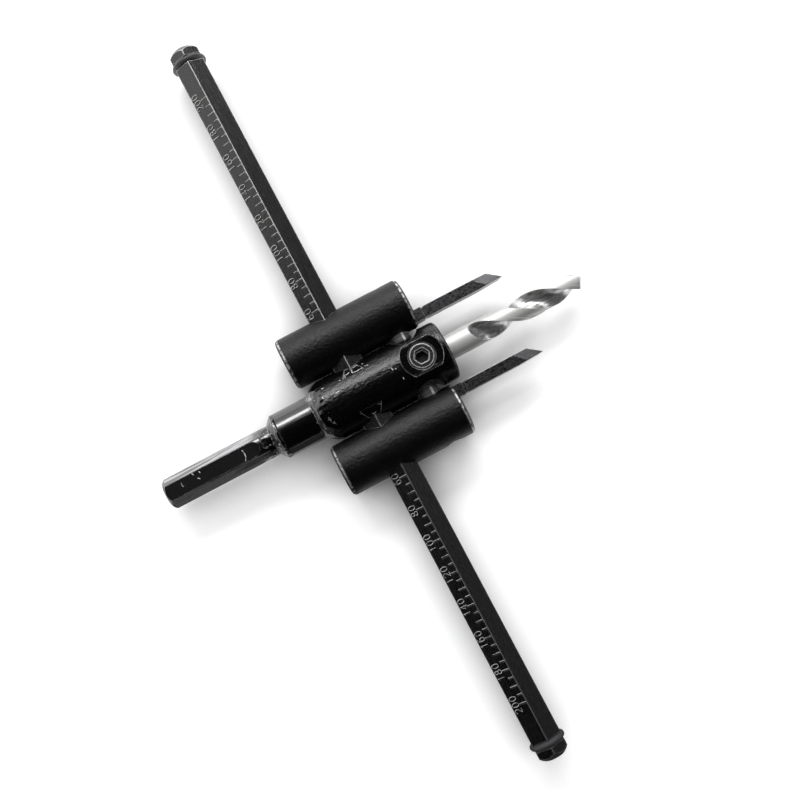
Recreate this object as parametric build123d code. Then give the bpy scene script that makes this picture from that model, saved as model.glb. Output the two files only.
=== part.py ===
from build123d import *
from math import acos, atan2, ceil, cos, hypot, pi, radians, sin, tan
import os

# Adjustable circle cutter: a drill arbor with a hexagonal cross bar, on which two tool carriers
# slide. Each carrier holds a blade, and the arbor's nose holds a pilot drill.
# Millimetres. X runs along the tool's axis from the shank's end face to the drill's point, Y
# along the cross bar, Z up. Side a is +Y and side b is -Y.

# Arbor, turned from one bar
shank_blank_dia = 9.1
shank_flats = 8.0
shank_length = 30.0
shank_mill_radius = 6.0
shank_end_chamfer = 0.9
neck_length = 3.5
neck_taper_length = 1.9
collar_dia = 13.3
collar_length = 11.8
shoulder_length = 4.5
body_dia = 18.0
body_length = 37.6
nose_radius = 1.3

# Cross bar, with a rubber ring in a turned groove near each end
bar_flats = 8.8
bar_length = 228.0
bar_from_shoulder = 10.5
bar_seat_clearance = 0.02
bar_end_chamfer = 1.9
ring_from_bar_end = 4.6
ring_wire = 1.8
ring_stretch = 0.02
ring_groove_dia = 7.0
ring_groove_width = 2.0
ring_facets = 10

# Scale on the bar: a long mark every 5 mm, a short one between
scale_first_radius = 26.45
scale_length = 70.0
scale_step = 2.5
long_mark = 2.4
short_mark = 1.6
mark_width = 0.3
mark_depth = 0.12
mark_from_corner = 0.15

# Staked facets that hold the bar, above its mouths in the body
stake_angle = 44.0
stake_depth = 0.25
stake_width = 3.7
stake_long_edge = 6.8
stake_short_edge = 3.6

# Carriers, clear of the body by carrier_gap when they are pushed home
carrier_dia = 15.4
carrier_length = 39.2
carrier_rear_from_bar = 15.85
carrier_edge_radius = 1.2
carrier_gap = 0.4
bar_slide_clearance = 0.06
edge_facets = 3

# Blades, in blind slots close to the carriers' inner sides
blade_width = 3.3
blade_height = 5.0
blade_root_extra = 0.3
blade_tip_from_bar = 51.1
blade_tail_from_bar = 7.5
blade_step_from_bar = 25.8
blade_neck_length = 0.9
blade_neck_depth = 0.25
blade_end_slant = 4.0
blade_tip_inset = 0.35
blade_side_relief = 7.5
blade_facet_start = 8.9
blade_facet_end = 5.4
blade_facet_drop = 12.0
blade_end_relief = 8.0
slot_wall = 1.0
slot_clearance = 0.05
slot_end_room = 1.2

# Set screws, shown with smooth threads
screw_clearance = 0.05
screw_end_gap = 0.05
blade_screw_dia = 6.0
blade_screw_length = 3.1
blade_screw_from_bar = 16.8
blade_screw_socket = 3.0
blade_screw_socket_depth = 1.8
tapping_dia = 5.0
lock_screw_dia = 8.0
lock_screw_length = 10.0
clamp_screw_dia = 8.0
clamp_screw_from_bar = 19.2
clamp_screw_turn = 6.0
clamp_screw_proud = 0.25
key_flats = 4.0
key_depth = 2.6
screw_chamfer = 0.5

# Spot face round the drill's clamp screw, and scallops that let the blade screws pass
spot_face_dia = 12.4
spot_face_depth = 1.35
scallop_dia = 10.0
scallop_from_bar = 17.4
scallop_depth = 2.75

# Pilot drill
drill_dia = 7.3
drill_clearance = 0.04
drill_length = 63.2
drill_tail_from_bar = 7.9
drill_bore_from_bar = 6.6
drill_point_angle = 118.0
drill_flute_length = 32.1
drill_pitch = 39.5
drill_phase = 109.0
flute_radius = 2.6
web_radius = 0.6
margin_angle = 18.0
land_relief = 0.15
drill_lip_relief = 10.0
flute_facets = 7
land_facets = 4
twist_step = 1.25

# Places worked out from the sizes above
blank_r = shank_blank_dia / 2
body_r = body_dia / 2
taper_x = shank_length + neck_length
collar_x = taper_x + neck_taper_length
shoulder_x = collar_x + collar_length
body_x = shoulder_x + shoulder_length
nose_x = body_x + body_length
bar_x = body_x + bar_from_shoulder
bar_corner_r = bar_flats / 2 / cos(radians(30))
carrier_y = body_r + carrier_gap + carrier_dia / 2
carrier_rear_x = bar_x - carrier_rear_from_bar
carrier_nose_x = carrier_rear_x + carrier_length
blade_root_width = blade_width + blade_root_extra
blade_root_height = blade_height + blade_root_extra
slot_width = blade_root_width + 2 * slot_clearance
slot_height = blade_root_height + 2 * slot_clearance
slot_y = body_r + carrier_gap + slot_wall + slot_width / 2
blade_tip_x = bar_x + blade_tip_from_bar
blade_tail_x = bar_x + blade_tail_from_bar
blade_step_x = bar_x + blade_step_from_bar
blade_screw_x = bar_x + blade_screw_from_bar
clamp_x = bar_x + clamp_screw_from_bar
spot_face_r = body_r - spot_face_depth
drill_tail_x = bar_x + drill_tail_from_bar
drill_tip_x = drill_tail_x + drill_length
drill_r = drill_dia / 2
flute_x = drill_tip_x - drill_flute_length
flute_centre = web_radius + flute_radius
flute_edge = acos((drill_r**2 + flute_centre**2 - flute_radius**2) / (2 * drill_r * flute_centre))
beyond = 2 * body_dia


def along_x(radius, x_start, x_end, y=0.0):
    """Round bar parallel to the tool's axis."""
    bar = Cylinder(radius, x_end - x_start, align=(Align.CENTER, Align.CENTER, Align.MIN))
    return Pos(x_start, y, 0) * Rot(0, 90, 0) * bar


def along_y(radius, x, y_start, y_end):
    """Round bar parallel to the cross bar."""
    bar = Cylinder(radius, abs(y_end - y_start))
    return Pos(x, (y_start + y_end) / 2, 0) * Rot(90, 0, 0) * bar


def hex_bar(flats, length):
    """Hexagonal bar along Y through the cross bar's axis, with a corner on top."""
    section = RegularPolygon(flats / 2, 6, major_radius=False, rotation=30)
    return Pos(bar_x, length / 2, 0) * Rot(90, 0, 0) * extrude(section, length)


def on_clamp_axis(shape):
    """Place a shape, made along Z, on the drill clamp screw's leaning axis."""
    return Pos(clamp_x, 0, 0) * Rot(-clamp_screw_turn, 0, 0) * shape


def arc_points(x, y, radius, start, end, count):
    """Points of an arc about (x, y), from one angle in degrees to another."""
    turns = [radians(start + (end - start) * step / count) for step in range(count + 1)]
    return [(x + radius * cos(turn), y + radius * sin(turn)) for turn in turns]


def dome(start, end):
    """Arc of a turned profile about a point of the X axis, which makes part of a sphere."""
    centre_x = (hypot(*end) ** 2 - hypot(*start) ** 2) / (2 * (end[0] - start[0]))
    radius = hypot(start[0] - centre_x, start[1])
    half_way = (atan2(start[1], start[0] - centre_x) + atan2(end[1], end[0] - centre_x)) / 2
    middle = (centre_x + radius * cos(half_way), radius * sin(half_way))
    return ThreePointArc(start, middle, end)


def set_screw(dia, length, flats, depth):
    """Socket set screw along Z, with its socket end at z = 0 and its point below."""
    radius = dia / 2 - screw_clearance
    body = Pos(0, 0, -length / 2) * Cylinder(radius, length)
    body = chamfer(body.edges().filter_by(GeomType.CIRCLE), screw_chamfer)
    socket = extrude(RegularPolygon(flats / 2, 6, major_radius=False), -depth)
    return body - socket


def shank_flat_cutter():
    """Cutter for the top flat of the shank, with the run-out of a round mill."""
    height = blank_r
    slab = Box(shank_length + height, body_dia, height, align=(Align.MIN, Align.CENTER, Align.MIN))
    mill = Rot(90, 0, 0) * Cylinder(shank_mill_radius, body_dia)
    end_x = shank_length - shank_mill_radius / 2
    slab = Pos(end_x - shank_length - height, 0, shank_flats / 2) * slab
    return slab + Pos(end_x, 0, shank_flats / 2 + shank_mill_radius) * mill


def stake_cutter():
    """Shallow punch mark that closes the body over the bar's mouth."""
    half_long = stake_long_edge / 2
    half_short = stake_short_edge / 2
    half_width = stake_width / 2
    outline = Polygon(
        (-half_long, -half_width),
        (half_long, -half_width),
        (half_short, half_width),
        (-half_short, half_width),
        align=None,
    )
    return Pos(0, 0, body_r - stake_depth) * extrude(outline, body_r)


def make_arbor():
    shank_end = (0, blank_r - shank_end_chamfer)
    shank_side = (shank_end_chamfer, blank_r)
    collar_end = (shoulder_x, collar_dia / 2)
    body_start = (body_x, body_r)
    nose = arc_points(nose_x - nose_radius, body_r - nose_radius, nose_radius, 90, 0, edge_facets)
    profile = dome(shank_end, shank_side) + dome(collar_end, body_start)
    profile += Polyline(shank_side, (taper_x, blank_r), (collar_x, collar_dia / 2), collar_end)
    profile += Polyline(body_start, *nose, (nose_x, 0), (0, 0), shank_end)
    arbor = revolve(make_face(profile), Axis.X)

    for flat in range(6):
        arbor -= Rot(60 * flat, 0, 0) * shank_flat_cutter()

    arbor -= hex_bar(bar_flats + 2 * bar_seat_clearance, beyond)
    for side in (1, -1):
        mark = Rot(-side * (90 - stake_angle), 0, 0) * Rot(0, 0, 90 - 90 * side) * stake_cutter()
        arbor -= Pos(bar_x, 0, 0) * mark

    bore_r = drill_r + drill_clearance
    bore_x = bar_x + drill_bore_from_bar
    point = bore_r / tan(radians(drill_point_angle / 2))
    bore = along_x(bore_r, bore_x, nose_x + 1)
    bore_end = Pos(bore_x, 0, 0) * Rot(0, -90, 0) * Cone(
        bore_r, 0, point, align=(Align.CENTER, Align.CENTER, Align.MIN)
    )
    arbor -= bore + bore_end

    seat = Pos(0, 0, spot_face_r) * Cylinder(
        spot_face_dia / 2, body_r, align=(Align.CENTER, Align.CENTER, Align.MIN)
    )
    tapped = Cylinder(
        clamp_screw_dia / 2, body_r, align=(Align.CENTER, Align.CENTER, Align.MIN)
    )
    arbor -= on_clamp_axis(seat) + on_clamp_axis(tapped)

    scallop_y = body_r - scallop_depth + scallop_dia / 2
    for side in (1, -1):
        scallop = Cylinder(scallop_dia / 2, beyond)
        arbor -= Pos(bar_x + scallop_from_bar, side * scallop_y, 0) * scallop
    return arbor


def scale_marks():
    """Engraving cutters for the scale, on the shank-side upper flat of both arms."""
    slope = 30
    cutters = []
    count = int(scale_length / scale_step)
    for index in range(count + 1):
        length = short_mark if index % 2 else long_mark
        along_flat = mark_from_corner + length / 2
        x = bar_x - along_flat * cos(radians(slope))
        z = bar_corner_r - along_flat * sin(radians(slope))
        y = scale_first_radius + index * scale_step
        mark = Rot(0, -slope, 0) * Box(length, mark_width, 2 * mark_depth)
        for side in (1, -1):
            cutters.append(Pos(x, side * y, z) * mark)
    return cutters


def ring_y():
    return bar_length / 2 - ring_from_bar_end


def make_scale_bar():
    bar = hex_bar(bar_flats, bar_length)
    end = bar_length / 2
    tip = (end, bar_corner_r - bar_end_chamfer)
    side_end = (end - bar_end_chamfer, bar_corner_r)
    turned = dome(side_end, tip) + Polyline(tip, (end, 0), (0, 0), (0, bar_corner_r), side_end)
    half = revolve(make_face(turned), Axis.X)
    bar &= Pos(bar_x, 0, 0) * (Rot(0, 0, 90) * half + Rot(0, 0, -90) * half)
    for side in (1, -1):
        half_width = ring_groove_width / 2
        y_start = side * ring_y() - half_width
        y_end = side * ring_y() + half_width
        groove = along_y(bar_corner_r + 1, bar_x, y_start, y_end)
        bar -= groove - along_y(ring_groove_dia / 2, bar_x, y_start, y_end)
    return bar - scale_marks()


def make_stop_ring(side):
    """Round rubber ring, with a section of flat facets, stretched round the bar."""
    wire_r = ring_wire / 2
    section = RegularPolygon(wire_r, ring_facets, rotation=180 / ring_facets)
    middle_r = ring_groove_dia / 2 + ring_stretch + wire_r
    ring = revolve(Pos(0, middle_r) * section, Axis.X)
    return Pos(bar_x, side * ring_y(), 0) * Rot(0, 0, 90) * ring


def make_carrier(side):
    y = side * carrier_y
    inner_y = side * (carrier_y - carrier_dia / 2)
    outer_y = side * (carrier_y + carrier_dia / 2)
    edge_r = carrier_dia / 2 - carrier_edge_radius
    rear_x = carrier_rear_x + carrier_edge_radius
    front_x = carrier_nose_x - carrier_edge_radius
    profile = Polyline(
        (carrier_rear_x, 0),
        *arc_points(rear_x, edge_r, carrier_edge_radius, 180, 90, edge_facets),
        *arc_points(front_x, edge_r, carrier_edge_radius, 90, 0, edge_facets),
        (carrier_nose_x, 0),
        close=True,
    )
    carrier = Pos(0, y, 0) * revolve(make_face(profile), Axis.X)
    carrier -= hex_bar(bar_flats + 2 * bar_slide_clearance, 4 * carrier_y)

    slot_x = blade_tail_x - slot_end_room
    slot = Box(
        beyond, slot_width, slot_height, align=(Align.MIN, Align.CENTER, Align.CENTER)
    )
    carrier -= Pos(slot_x, side * slot_y, 0) * slot
    carrier -= along_y(blade_screw_dia / 2, blade_screw_x, inner_y - side, side * slot_y)
    carrier -= along_y(tapping_dia / 2, blade_screw_x, side * slot_y, outer_y + side)
    carrier -= along_x(lock_screw_dia / 2, carrier_rear_x - 1, bar_x, y)
    return carrier


def make_blade(side):
    """Cutter bit along X, with its point on its -Y side."""
    half_width = blade_width / 2
    half_height = blade_height / 2
    root_length = blade_step_x - blade_tail_x
    root = Box(
        root_length,
        blade_root_width,
        blade_root_height,
        align=(Align.MIN, Align.CENTER, Align.CENTER),
    )
    neck = Box(
        2 * blade_neck_length,
        blade_width - blade_neck_depth,
        blade_height - blade_neck_depth,
    )
    front_x = blade_step_x + blade_neck_length
    outline = Polygon(
        (front_x, -half_width),
        (blade_tip_x - blade_side_relief, -half_width),
        (blade_tip_x, blade_tip_inset - half_width),
        (blade_tip_x - blade_end_slant, half_width),
        (front_x, half_width),
        align=None,
    )
    point = Pos(0, 0, -half_height) * extrude(outline, blade_height)

    # Ground facet on the top face, from a slanting line down to the end
    line_start = Vector(blade_tip_x - blade_facet_start, half_width, half_height)
    line_end = Vector(blade_tip_x - blade_facet_end, -half_width, half_height)
    line = (line_end - line_start).normalized()
    normal = Vector(0, 0, 1).rotate(Axis((0, 0, 0), line), -blade_facet_drop)
    facet = Plane(origin=line_start, x_dir=line, z_dir=normal)
    point -= facet * Box(beyond, beyond, beyond, align=(Align.CENTER, Align.CENTER, Align.MIN))

    # Clearance behind the cutting edge, so the lower part of the end face stands back
    end_start = Vector(blade_tip_x - blade_end_slant, half_width, half_height)
    end_tip = Vector(blade_tip_x, blade_tip_inset - half_width, half_height)
    edge = (end_tip - end_start).normalized()
    outward = edge.cross(Vector(0, 0, 1)) * -1
    outward = outward.rotate(Axis((0, 0, 0), edge), -blade_end_relief)
    relief = Plane(origin=end_start, x_dir=edge, z_dir=outward)
    point -= relief * Box(beyond, beyond, beyond, align=(Align.CENTER, Align.CENTER, Align.MIN))

    blade = Pos(blade_tail_x, 0, 0) * root + Pos(blade_step_x, 0, 0) * neck + point
    return Pos(0, side * slot_y, 0) * blade


def make_blade_screw(side):
    """Set screw through the carrier's inner wall, with its socket toward the body."""
    point_y = slot_y - blade_root_width / 2 - screw_end_gap
    screw = set_screw(
        blade_screw_dia, blade_screw_length, blade_screw_socket, blade_screw_socket_depth
    )
    placed = Rot(side * 90, 0, 0) * screw
    return Pos(blade_screw_x, side * (point_y - blade_screw_length), 0) * placed


def make_bar_lock_screw(side):
    """Set screw along the carrier's axis, pressing on the bar's shank-side flat."""
    point_x = bar_x - bar_flats / 2 - screw_end_gap
    screw = set_screw(lock_screw_dia, lock_screw_length, key_flats, key_depth)
    return Pos(point_x - lock_screw_length, side * carrier_y, 0) * Rot(0, -90, 0) * screw


def make_drill_clamp_screw():
    top = spot_face_r + clamp_screw_proud
    length = top - drill_r - screw_end_gap
    return on_clamp_axis(Pos(0, 0, top) * set_screw(clamp_screw_dia, length, key_flats, key_depth))


def flute_outline():
    """Space that one flute takes, seen along the drill: facets of a circle, open outward."""
    start = atan2(drill_r * sin(flute_edge), drill_r * cos(flute_edge) - flute_centre)
    span = 2 * pi - 2 * start
    outline = []
    for facet in range(flute_facets + 1):
        turn = start + span * facet / flute_facets
        outline.append((flute_centre + flute_radius * cos(turn), flute_radius * sin(turn)))
    outline.append((drill_dia * cos(flute_edge), -drill_dia * sin(flute_edge)))
    outline.append((drill_dia * cos(flute_edge), drill_dia * sin(flute_edge)))
    return outline


def relief_outline():
    """Space over one land, which lies below its narrow margin at the leading edge."""
    start = flute_edge - radians(margin_angle) / 2
    end = pi - flute_edge - radians(margin_angle)
    outline = []
    for facet in range(land_facets + 1):
        turn = start + (end - start) * facet / land_facets
        low_r = drill_r - land_relief
        outline.append((low_r * cos(turn), low_r * sin(turn)))
    outline.append((drill_dia * cos(end), drill_dia * sin(end)))
    outline.append((drill_dia * cos(start), drill_dia * sin(start)))
    return outline


def twisted(outline, turn):
    """Bar of flat facets along the drill's end, whose outline turns as the flutes do."""
    start_x = flute_x - twist_step
    steps = ceil(drill_flute_length / twist_step) + 2
    rings = []
    for step in range(steps + 1):
        x = start_x + step * twist_step
        angle = drill_phase + turn + 360 * (x - flute_x) / drill_pitch
        rings.append([Vector(x, y, z).rotate(Axis.X, angle) for y, z in outline])
    facets = [Face(Wire.make_polygon(rings[0])), Face(Wire.make_polygon(rings[-1]))]
    for ring, following in zip(rings, rings[1:]):
        for here in range(len(outline)):
            there = (here + 1) % len(outline)
            # This diagonal lies along the drill, so it stays close to the round surface
            facets.append(Face(Wire.make_polygon([ring[here], ring[there], following[here]])))
            facets.append(Face(Wire.make_polygon([ring[there], following[there], following[here]])))
    return Solid(Shell(facets))


def point_face(turn):
    """Block beyond one of the two ground faces of the point, which falls away behind its lip."""
    lip = radians(turn) + pi - flute_edge
    along_lip = Vector(0, cos(lip), sin(lip))
    behind_lip = Vector(0, sin(lip), -cos(lip))
    normal = Vector(1, 0, 0)
    normal += along_lip * tan(radians(90 - drill_point_angle / 2))
    normal += behind_lip * tan(radians(drill_lip_relief))
    ground = Plane(origin=(drill_tip_x, 0, 0), z_dir=normal)
    return ground * Box(beyond, beyond, beyond, align=(Align.CENTER, Align.CENTER, Align.MIN))


def make_pilot_drill():
    fluted = along_x(drill_r, flute_x, drill_tip_x)
    shank = along_x(drill_r, drill_tail_x, flute_x)
    shank = chamfer(shank.edges().filter_by(GeomType.CIRCLE).sort_by(Axis.X)[0], screw_chamfer)
    twist = 360 * drill_flute_length / drill_pitch
    for turn in (0, 180):
        fluted -= twisted(flute_outline(), turn)
        fluted -= twisted(relief_outline(), turn)
        fluted -= point_face(drill_phase + twist + turn)
        # Where the flutes run out, each ends in a round scoop
        scoop = Pos(0, flute_centre, 0) * Sphere(flute_radius)
        shank -= Pos(flute_x, 0, 0) * Rot(drill_phase + turn, 0, 0) * scoop
    return shank + fluted


pieces = {
    "arbor": make_arbor(),
    "scale_bar": make_scale_bar(),
    "pilot_drill": make_pilot_drill(),
    "drill_clamp_screw": make_drill_clamp_screw(),
}
for name, side in (("a", 1), ("b", -1)):
    pieces["stop_ring_" + name] = make_stop_ring(side)
    pieces["carrier_" + name] = make_carrier(side)
    pieces["blade_" + name] = make_blade(side)
    pieces["blade_screw_" + name] = make_blade_screw(side)
    pieces["bar_lock_screw_" + name] = make_bar_lock_screw(side)

os.makedirs("parts", exist_ok=True)
for name, piece in pieces.items():
    export_step(piece, os.path.join("parts", name + ".step"))
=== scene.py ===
import math

import bmesh
import bpy
from mathutils import Matrix, Vector


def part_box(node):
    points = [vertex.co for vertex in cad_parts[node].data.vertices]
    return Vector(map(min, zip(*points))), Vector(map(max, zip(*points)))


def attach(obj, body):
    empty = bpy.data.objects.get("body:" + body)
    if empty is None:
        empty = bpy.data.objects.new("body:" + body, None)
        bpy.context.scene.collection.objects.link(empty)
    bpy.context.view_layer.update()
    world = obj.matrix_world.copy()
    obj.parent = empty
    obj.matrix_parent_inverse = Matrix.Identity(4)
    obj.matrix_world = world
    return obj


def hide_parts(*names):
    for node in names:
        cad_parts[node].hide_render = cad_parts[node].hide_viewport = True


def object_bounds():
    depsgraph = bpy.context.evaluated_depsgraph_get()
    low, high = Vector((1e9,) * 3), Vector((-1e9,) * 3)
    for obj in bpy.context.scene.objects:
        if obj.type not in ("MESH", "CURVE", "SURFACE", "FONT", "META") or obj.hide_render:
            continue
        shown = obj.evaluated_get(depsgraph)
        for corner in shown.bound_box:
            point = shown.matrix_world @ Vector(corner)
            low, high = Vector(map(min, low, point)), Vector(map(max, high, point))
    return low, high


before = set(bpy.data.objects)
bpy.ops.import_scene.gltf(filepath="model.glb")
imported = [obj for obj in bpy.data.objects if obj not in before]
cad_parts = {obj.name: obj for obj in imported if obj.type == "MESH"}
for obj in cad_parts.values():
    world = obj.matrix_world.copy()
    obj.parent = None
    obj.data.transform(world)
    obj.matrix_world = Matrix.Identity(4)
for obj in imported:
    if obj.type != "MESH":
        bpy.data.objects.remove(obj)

bl_info = {
    "name": "Circle Cutter",
    "version": (1, 0, 0),
    "blender": (4, 5, 0),
    "location": "3D View > Sidebar > Circle Cutter",
    "description": "Metal finishes, scale numbers and a studio for an adjustable circle cutter",
    "category": "Object",
}

MM = 0.001
CAD_BOX = [list(corner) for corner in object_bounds()]
FLOOR_Z = CAD_BOX[0][2]
CARRIERS = ("carrier_a", "carrier_b")
RINGS = ("stop_ring_a", "stop_ring_b")
BLADES = ("blade_a", "blade_b")
BLADE_SCREWS = ("blade_screw_a", "blade_screw_b")
KEYED_SCREWS = ("drill_clamp_screw", "bar_lock_screw_a", "bar_lock_screw_b")

# Bands along the tool, in millimetres: where each begins, is full, begins to fade and ends
SHANK = (0.5, 1.0, 27.0, 32.0)
NECK = (30.2, 30.8, 36.0, 36.5)
REAR_WEAR_GLINT = (46.75, 47.0, 47.2, 47.5)
BAR_CORNER_WEAR_GLINT = (61.85, 61.95, 62.45, 62.55)
# Painted highlight stripe along the blade screws
SCREW_HIGHLIGHT = (79.35, 79.55, 80.05, 80.25)
FRONT_WEAR_GLINT = (84.4, 84.65, 84.9, 85.15)
# Rises along the tool, in millimetres: where each begins and is full
SHOULDER = (46.5, 48.5)
BLADE_FACET = (104.5, 107.0)
# Rises away from the axis, and upward for the shank's top flat
BODY_ROUND = (8.60, 8.68)
DRILL_ROUND = (3.35, 3.48)
SHANK_TOP = (3.85, 3.95)
# Rises at the edges of the bar's scale, with the sign of the side that wears, painted bright
BAR_WEAR = (
    ("X", 58.2, 58.4, -1), ("X", 66.0, 66.2, 1), ("Y", 98.0, 99.0, 1), ("Y", -99.0, -98.0, -1),
)
# The body's start along the tool and its radius, and the height of the shank's top flat
BODY_START = 51.8
BODY_RADIUS = 9.0
SHANK_FLAT = 4.0

# Stakes over the bar's mouths
STAKE_X = 62.2
STAKE_LENGTH = 6.8
STAKE_ANGLE = 44.0
STAKE_DEPTH = 0.25

NICK_WIDTH = 0.26
NICK_HEIGHT = 0.06
# The body's burrs and nicks are bright strokes, partly painted glints
# Burrs and nicks on the body, as places along the tool and angles from its top toward +Y
STAKE_BURR_GLINTS = [
    [(62.3, 54), (63.0, 53), (64.0, 54), (64.9, 51), (65.9, 48)],
    [(65.7, 49), (65.2, 44), (65.0, 39), (64.3, 40), (63.4, 39), (62.4, 40)],
    [(61.9, 53), (62.3, 48), (62.0, 43), (62.2, 39)],
    [(61.3, 46), (60.6, 44), (59.5, 45), (59.9, 38), (59.0, 37), (57.8, 37)],
    [(65.4, 39), (66.1, 40), (67.0, 38)],
    [(64.3, -38), (64.9, -39), (65.1, -43), (64.9, -48), (65.3, -50)],
    [(58.7, -39), (59.2, -41), (59.1, -46), (59.5, -48)],
    [(61.6, -51), (62.1, -53), (62.9, -52)],
]
BODY_NICK_GLINTS = [
    [(72.2, 9), (72.3, 7), (72.4, 5)],
    [(73.1, 6), (73.3, 4)],
    [(73.9, -14), (73.9, -18)],
    [(55.3, 16), (55.9, 17), (56.5, 18)],
    [(53.0, 39), (52.3, 39)],
]
# Nicks on the shank's top flat, as places along the tool and across it
SHANK_NICKS = [
    [(24.6, 1.2), (24.9, 0.2), (24.8, -0.9), (24.2, -2.0)],
    [(11.3, 1.6), (11.5, 1.0)],
    [(10.2, 0.1), (10.5, -0.2), (10.8, -0.5)],
    [(5.5, 1.0), (5.4, 0.4), (5.6, -0.2)],
    [(9.2, 2.0), (9.6, 1.4)],
]

# Marks of the scale as they are cut in the bar, and the numbers under every other long mark
MARK_START = 0.2
LONG_MARK = 2.4
SHORT_MARK = 1.6
NUMBERS = range(60, 201, 20)
BURR_HEIGHT = 0.03

# Steps of the drill's section and of its length, and how its mesh is closed and shaded
FLUTE_STEPS = 22
LAND_STEPS = 14
MARGIN_STEPS = 4
DRILL_STEPS = 150
DRILL_CHAMFER = 0.5
NARROWEST_FLUTE = math.radians(0.5)
MERGE_WIDTH = 0.002
SHARP_ANGLE = math.radians(28)

THREAD_PITCH = 1.0
STROKE_SIDES = 6
# Noise lies mostly between these values
NOISE_SPAN = (0.3, 0.7)
BARE_ROUGHNESS = 0.55

# Studio, in metres: the paper, the cards that stand and lie round the tool, and the soft lamp
PAPER_REACH = 4.0
ROOM_X = (-4.5, 1.3)
ROOM_Y = (-1.4, 1.6)
CARD_FOOT = 0.03
CEILING = 1.2
CARD_LEVEL = 0.0005
# Floor cards that paint shade into the metal's reflection of the -Y floor
FLOOR_SHADE_CARDS = (((-1.5, 0.047), -0.016), ((0.047, 1.3), -0.042))
CONTACT_REACH = 0.02
SOFT_PLACE = (0.06, 0, 1.1)
SOFT_SIZE = (1.5, 1.5)

# Width of the camera's sensor, in millimetres
SENSOR_WIDTH = 36.0


def middle(node):
    """Middle of a CAD node's box."""
    low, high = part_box(node)
    return (Vector(low) + Vector(high)) / 2


def linear(code):
    """Linear colour, with alpha, of an sRGB hex value."""
    parts = [int(code[i:i + 2], 16) / 255 for i in (1, 3, 5)]
    return tuple(
        part / 12.92 if part <= 0.04045 else ((part + 0.055) / 1.055) ** 2.4 for part in parts
    ) + (1.0,)


def colour(name, description, code):
    """Colour property whose default is an sRGB hex value."""
    return bpy.props.FloatVectorProperty(
        name=name, description=description, subtype="COLOR", size=4, min=0, max=1,
        default=linear(code),
    )


def length(name, description, millimetres):
    """Length property, given in millimetres and kept in metres."""
    return bpy.props.FloatProperty(
        name=name, description=description, unit="LENGTH", precision=5,
        default=millimetres * MM,
    )


class FinishSettings(bpy.types.PropertyGroup):
    """Colours and wear of the cutter's metal and rubber"""

    oxide: colour("Black oxide", "Oiled black oxide on turned steel", "#060607")
    bar_oxide: colour("Bar oxide", "Black oxide on the drawn hexagonal bar", "#09090a")
    rubbed: colour("Rubbed oxide", "Oxide worn thin by the drill's chuck", "#b4b4b6")
    bare: colour("Bare steel", "Steel where the oxide has worn through", "#dededc")
    tool_steel: colour("Blade steel", "Hardened and ground tool steel", "#8a8a8c")
    # Colour of the blade screws' painted highlight stripe
    screw_steel: colour("Screw steel", "Alloy steel of the set screws", "#f0f0f0")
    speed_steel: colour("Drill steel", "Bright ground high-speed steel", "#dededc")
    flute_dark: colour("Flute shade", "Darker hatching of the ground flutes", "#b4b4b4")
    flute_light: colour("Flute light", "Lighter hatching of the ground flutes", "#e8e8e8")
    blade_scale: colour("Blade scale", "Hardening scale left on the blades", "#2c2c2e")
    # Thread roots painted darker, as shade
    thread_root: colour("Thread root", "Screw steel in the thread's roots", "#626263")
    thread_crest: colour("Thread crest", "Screw steel on the thread's crests", "#7c7c7d")
    # Colour of the burr strokes, partly painted glints
    dull_burr: colour("Dull burr", "Burr that keeps a trace of oxide", "#8a8a89")
    rubber: colour("Ring rubber", "Greyed black nitrile rubber", "#3e3e40")
    wear_width: length("Wear width", "Width of the worn edges on the oxide", 0.22)


class ScaleSettings(bpy.types.PropertyGroup):
    """Engraved marks and stamped numbers on the bar"""

    first: length("First mark", "Distance of the first mark from the tool's axis", 26.45)
    step: length("Step", "Distance from one mark to the next", 2.5)
    label_step: length("Number step", "Distance from one number to the next", 10.0)
    digit_height: length("Digit height", "Height of a stamped digit", 2.2)
    digit_width: length("Digit width", "Width of a stamped digit", 1.4)
    digit_pitch: length("Digit pitch", "Distance from one digit to the next", 1.85)
    digit_base: length("Digit base", "Distance of the digits' feet from the corner", 2.5)
    stroke: length("Stroke", "Width of a digit's stamped groove", 0.38)
    # Burr strokes lie on one side of each groove: burrs, and painted highlight of its lit wall
    burr: length("Burr", "Width of the bright burr beside a groove", 0.23)
    burr_shift: length("Burr shift", "Distance of the burr from the middle of its groove", 0.17)
    mark_burr: length("Mark burr", "Width of the bright burr beside a mark", 0.161)
    marks: bpy.props.IntProperty(
        name="Marks", description="Number of marks on each arm", default=29, min=2
    )


class DrillSettings(bpy.types.PropertyGroup):
    """Ground shape of the pilot drill, as in the solid but with round and wider flutes"""

    radius: length("Radius", "Half the drill's diameter", 3.65)
    flute_radius: length("Flute radius", "Radius of the round that grinds a flute", 3.65)
    flute_centre: length("Flute centre", "Distance of that round from the drill's axis", 4.2)
    flute_start: length("Flute start", "Place along the tool where the flutes have full depth",
                        101.2)
    run_out: length("Run-out", "Length in which a flute rises out of the drill", 4.4)
    pitch: length("Pitch", "Length of one turn of a flute", 39.5)
    relief: length("Relief", "Drop of the land below its margin", 0.15)
    margin: bpy.props.FloatProperty(
        name="Margin", description="Angle that the margin spans", unit="ROTATION",
        default=math.radians(18),
    )
    phase: bpy.props.FloatProperty(
        name="Phase", description="Angle of the first flute at its start", unit="ROTATION",
        default=math.radians(106),
    )
    point: bpy.props.FloatProperty(
        name="Point", description="Angle between the two lips", unit="ROTATION",
        default=math.radians(118),
    )
    lip_relief: bpy.props.FloatProperty(
        name="Lip relief", description="Angle that the point falls away behind a lip",
        unit="ROTATION", default=math.radians(10),
    )


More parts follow.
